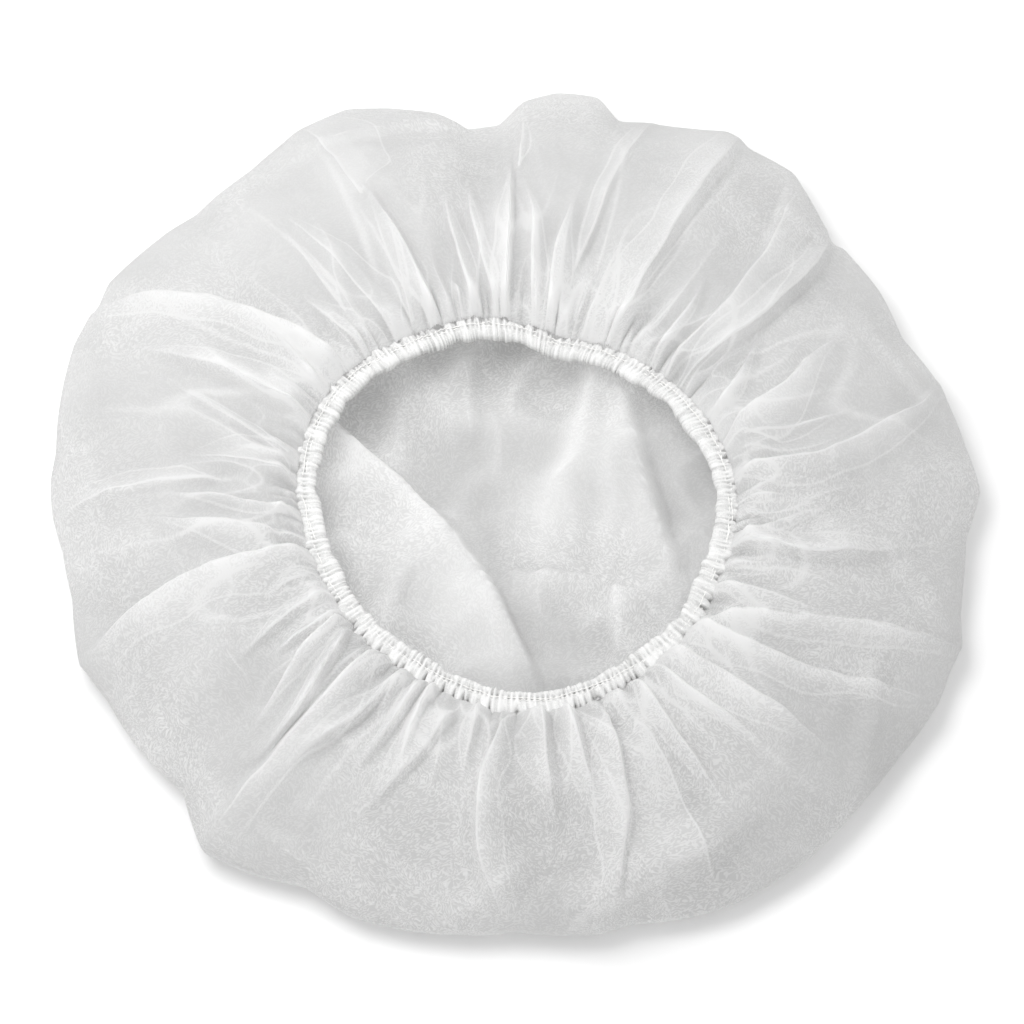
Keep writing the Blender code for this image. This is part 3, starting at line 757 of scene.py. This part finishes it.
def crown_material():
    """Spunbond: brushed fibres in patches, whiter where a fold lays it double, with painted highlights
    that make it whitest on the folds' edges and bright on crests and creases.
    """
    shade = Shade("spunbond_cloth")
    fibres = shade.fibres(0.00052)
    share = shade.stored("share")
    # The stored tone holds the cloth's cloudiness together with painted light and shade.
    tone = shade.add(shade.stored("cloud_and_painted_light"), fibres, shade.stored("hairy"))
    fade = shade.between(share, 1.02, 0.80)
    for ply in ("a", "b"):
        band = shade.stored("band_" + ply)
        firm = shade.math("MULTIPLY", shade.stored("firm_" + ply), fade)
        double = shade.math("MULTIPLY", shade.between(band, -0.0002, 0.0004), firm)
        tone = shade.add(tone, double, DOUBLE_TONE)
        # A painted highlight along the edge of the double cloth.
        edge = shade.math("MULTIPLY", shade.line(band, 0.0001, 0.0006), firm)
        tone = shade.add(tone, edge, EDGE_HIGHLIGHT_TONE)
    # Painted highlights along the pleats' crests.
    for name, *_, width, strength, near, far in PLEATS:
        begun, ending = shade.between(share, near * 0.5, near), shade.between(share, far, near)
        here = shade.math("MULTIPLY", begun, ending)
        crest = shade.math("MULTIPLY", shade.line(shade.stored(name), 0.0, width), here)
        tone = shade.add(tone, crest, strength)
    # Painted highlight on the folds' crests.
    tone = shade.add(tone, shade.stored("crest_highlight"), CREST_HIGHLIGHT_TONE)
    # A painted highlight along the crisp creases.
    tone = shade.add(tone, shade.line(shade.stored("crease"), 0.0, LINE_WIDTH), CREASE_HIGHLIGHT_TONE)
    return shade.cloth(tone, CROWN_COLOURS, CROWN_THROUGH)


def hem_material():
    """The same cloth in many layers, with painted shade that greys it down in the dips and darkens it
    most in the stitch holes, and painted light on its ridges.
    """
    shade = Shade("gathered_cloth")
    curls = shade.strand(760.0, 1.5, 8.0)
    # Painted light and shade from the stored ridges.
    tone = shade.math("MULTIPLY_ADD", shade.stored("ridge"), 0.50, 0.32)
    tone = shade.add(tone, curls, 0.24)
    return shade.cloth(tone, HEM_COLOURS, HEM_THROUGH, shade.bump(curls, 0.4, 0.0002))


def thread_material():
    """White sewing thread with a fine twist."""
    shade = Shade("stitch_thread")
    colour = shade.mix(shade.noise(shade.place, 900.0).outputs["Fac"], THREAD_COLOURS)
    shade.set(shade.shader, Base_Color=colour, Roughness=0.6, Sheen_Weight=0.3)
    return shade.material


def elastic_material():
    """Covered elastic: fine ribs round the band."""
    shade = Shade("covered_elastic")
    rib = shade.nodes.new("ShaderNodeTexWave")
    shade.set(rib, Scale=300.0)
    colour = shade.mix(rib.outputs["Fac"], ELASTIC_COLOURS)
    shade.set(shade.shader, Base_Color=colour, Roughness=0.8)
    return shade.material


def make_crown(material):
    upper, folds = upper_layer()
    turned = rim_turn(upper[-1])
    base, base_height, base_crease = base_layer()
    top_rings = len(upper) + len(turned)
    faces = []
    for ring in range(top_rings - 1):
        faces += ring_faces(ring * COLUMNS, (ring + 1) * COLUMNS, COLUMNS)
    low = (top_rings - 1) * COLUMNS
    high = top_rings * COLUMNS
    faces += step_down(low, high, COLUMNS)
    for ring in range(len(base) - 1):
        faces += ring_faces(high + ring * BASE_COLUMNS, high + (ring + 1) * BASE_COLUMNS, BASE_COLUMNS)
    last = high + (len(base) - 1) * BASE_COLUMNS
    faces.append(list(range(last, last + BASE_COLUMNS)))
    points = np.concatenate((upper.reshape(-1, 3), turned.reshape(-1, 3), base.reshape(-1, 3)))
    mesh = sheet_mesh("crown_cloth", points, faces)
    # The cloth is a little hairier in front and cloudy all over. Its tone also holds painted light:
    # greyer in front and lighter towards the back.
    back = points[:, 1]
    cloud_and_painted_light = TONE + 0.12 * field(points, 0.060, 71) + 0.16 * field(points, 0.020, 72)
    # Painted light: the tone rises towards the back.
    cloud_and_painted_light += 1.0 * back
    hairy = 0.16 + 0.26 * eased(field(points, 0.050, 73) * 1.8 + 0.45) - 0.5 * back
    # Painted light and shade of the pleats and of the gathers by the hem.
    cloud_and_painted_light[: folds["gathered"].size] += folds["gathered"].ravel()
    # Painted light on the base's wrinkles by their height, and painted shade over the whole base.
    cloud_and_painted_light[-base_height.size :] += WRINKLE_LIGHT_TONE * base_height.ravel() / BASE_RISE + BASE_SHADE_TONE
    for name, values in (("cloud_and_painted_light", cloud_and_painted_light), ("hairy", hairy), ("patch", field(points, 0.024, 74))):
        store(mesh, name, values)
    plain = {"band_a": -FOLD_WIDTH, "band_b": -FOLD_WIDTH, "share": 1.0, "crease": WRINKLE_WIDTH}
    for name in (*FOLD_FIELDS, "share", "fine", "medium", "large", "crease"):
        values = np.full(len(points), plain.get(name, 0.0))
        values[: folds[name].size] = folds[name].ravel()
        if name == "crease":
            values[-base_crease.size :] = base_crease.ravel()
        store(mesh, name, values)
    crown = add_piece("crown_cloth", mesh, material)
    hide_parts("crown")
    return crown


def hem_profile():
    """Half-widths and half-heights round the band's section, from its outer edge over the top."""
    turn = np.linspace(0.0, 2.0 * np.pi, HEM_SIDES, endpoint=False)
    squareness = 0.75
    across = np.sign(np.cos(turn)) * np.abs(np.cos(turn)) ** squareness
    upward = np.sign(np.sin(turn)) * np.abs(np.sin(turn)) ** squareness
    return across, upward


def make_hem(material):
    """The band: a flat tube with puffs outside, fine ruffles inside and a row of stitch holes."""
    angle = np.arange(HEM_COLUMNS) * (360.0 / HEM_COLUMNS)
    ring = placed(angle, HEM_RADIUS, 0.0)
    outer = pouches(angle, PUFF, 31)
    ruffle = pouches(angle, RUFFLE, 41)
    hole = np.abs(np.cos(stitch_phase(angle))) ** 2.5
    swell = field(ring, 0.0042, 21)  # of the outer edge
    bunch = field(ring, 0.0060, 22)  # of the inner edge
    crimp = field(ring, 0.0013, 23)
    pleat = ridged(field(ring, 0.0017, 26) * 1.6)
    outer_deep = np.clip(0.75 + 0.9 * field(ring, 0.0075, 24), 0.15, 1.3)
    inner_deep = np.clip(0.80 + 1.0 * field(ring, 0.0060, 25), 0.2, 1.4)
    front = in_front(angle)
    groove = 0.10 - 0.30 * front
    rings = []
    ridges = []
    for x, z in zip(*hem_profile()):
        out = eased((x - 0.05) / 0.5)
        within = eased((-x - 0.15) / 0.5)
        stitch = bell(x, groove, 0.22) * (z > 0)
        scallop = (0.62 + 0.5 * front) * (outer - 0.65 + 0.3 * front) * outer_deep + 0.34 * swell
        ragged = 0.13 * (ruffle - 0.65) * inner_deep + 0.34 * bunch
        bulge = scallop * out + ragged * within + 0.09 * crimp
        reach = hem_reach(angle) + HEM_WIDTH / 2 * (x * (0.96 + bulge) + 0.10 * crimp * abs(x))
        crest = (outer - 0.6) * 0.50 * out * outer_deep + (ruffle - 0.6) * 0.17 * within * inner_deep
        puffed = 0.34 * swell * out + 0.34 * bunch * within + 0.10 * crimp + 0.12 * pleat
        tall = 1.0 + crest + puffed - (0.30 + 0.40 * hole) * stitch
        rings.append(placed(angle, reach, hem_level(angle) + HEM_THICK / 2 * tall * z))
        # Painted shade in the dips between the gathers and in the stitch holes, painted light on the
        # crimps and pleats.
        dips = 1.0 - (1.0 - outer) * out * outer_deep - 0.7 * (1.0 - ruffle) * within * inner_deep
        ridges.append(dips + 0.35 * crimp + 0.75 * (pleat - 0.35) - 1.5 * stitch * hole)
    faces = []
    for index in range(HEM_SIDES):
        faces += ring_faces(index * HEM_COLUMNS, (index + 1) % HEM_SIDES * HEM_COLUMNS, HEM_COLUMNS)
    mesh = sheet_mesh("hem_gathers", np.stack(rings), faces)
    store(mesh, "ridge", np.stack(ridges))
    hem = add_piece("hem_gathers", mesh, material)
    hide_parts("hem_casing")
    return hem


def add_loop(curve, points):
    spline = curve.splines.new("POLY")
    spline.points.add(len(points) - 1)
    spline.points.foreach_set("co", np.column_stack((points, np.ones(len(points)))).ravel())
    spline.use_cyclic_u = True


def make_threads(material):
    """Two rows of stitches along the band's groove, which dip into its holes and wander."""
    curve = bpy.data.curves.new("hem_stitches", "CURVE")
    curve.dimensions = "3D"
    curve.bevel_depth = THREAD
    curve.bevel_resolution = 1
    angle = np.arange(STITCHES * 4) * (90.0 / STITCHES)
    ring = placed(angle, HEM_RADIUS, 0.0)
    hop = np.abs(np.cos(stitch_phase(angle)))
    for out, height, dip, seed in THREAD_ROWS:
        aside = field(ring, 0.0055, seed) * THREAD_ASIDE
        lift = field(ring, 0.0045, seed + 2) * THREAD_LIFT
        reach = hem_reach(angle) + out + aside - THREAD_INWARD * in_front(angle)
        level = hem_level(angle) + HEM_THICK / 2 * height - dip * hop + lift
        add_loop(curve, placed(angle, reach, level))
    return add_piece("hem_stitches", curve, material)


def make_stage():
    """Pale floor, a large soft lamp overhead on the left, and an even sky."""
    mesh = bpy.data.meshes.new("floor")
    side = 6.0
    corners_of_floor = [(-side, -side, 0), (side, -side, 0), (side, side, 0), (-side, side, 0)]
    mesh.from_pydata(corners_of_floor, [], [(0, 1, 2, 3)])
    floor = bpy.data.objects.new("floor", mesh)
    floor.location.z = crown_low.z - 0.0002
    bpy.context.scene.collection.objects.link(floor)
    pale = bpy.data.materials.new("pale_floor")
    pale.use_nodes = True
    shader = pale.node_tree.nodes["Principled BSDF"]
    shader.inputs["Base Color"].default_value = (FLOOR, FLOOR, FLOOR, 1.0)
    shader.inputs["Roughness"].default_value = 1.0
    shader.inputs["Specular IOR Level"].default_value = 0.0
    mesh.materials.append(pale)
    world = bpy.data.worlds.new("studio")
    world.use_nodes = True
    background = world.node_tree.nodes["Background"]
    background.inputs["Color"].default_value = (1.0, 1.0, 1.0, 1.0)
    background.inputs["Strength"].default_value = SKY
    bpy.context.scene.world = world
    lamp = bpy.data.lights.new("key", "AREA")
    lamp.shape = "DISK"
    lamp.size = KEY_SIZE
    lamp.energy = KEY_POWER
    key = bpy.data.objects.new("key", lamp)
    key.location = KEY_PLACE
    key.rotation_euler = (Vector(KEY_AIM) - Vector(KEY_PLACE)).to_track_quat("-Z", "Y").to_euler()
    bpy.context.scene.collection.objects.link(key)
    bpy.context.scene.view_settings.view_transform = "Standard"


def make_camera():
    """Look down at the cap from the front so that its box fills the same part of the frame."""
    data = bpy.data.cameras.new("camera")
    data.lens = LENS
    data.sensor_width = SENSOR
    camera = bpy.data.objects.new("camera", data)
    tilt = math.radians(ELEVATION)
    wide_px = CAP_RIGHT_PX - CAP_LEFT_PX
    width = crown_high.x - crown_low.x
    distance = LENS * width / SENSOR * PHOTO_SIDE / wide_px
    aside = ((CAP_LEFT_PX + CAP_RIGHT_PX) / 2 - PHOTO_SIDE / 2) / PHOTO_SIDE
    above = ((CAP_TOP_PX + CAP_FOOT_PX) / 2 - PHOTO_SIDE / 2) / PHOTO_SIDE
    frame_width = width * PHOTO_SIDE / wide_px
    back = above * frame_width / math.sin(tilt) - AIM_FORWARD
    target = Vector((-aside * frame_width, back, AIM_LEVEL))
    camera.location = target + distance * Vector((0.0, -math.cos(tilt), math.sin(tilt)))
    camera.rotation_euler = (math.pi / 2 - tilt, 0.0, 0.0)
    bpy.context.scene.collection.objects.link(camera)
    bpy.context.scene.camera = camera


make_camera()
make_stage()
crown = make_crown(crown_material())
hem = make_hem(hem_material())
threads = make_threads(thread_material())
elastic = bpy.data.objects["elastic_band"]
elastic.data.materials.clear()
elastic.data.materials.append(elastic_material())
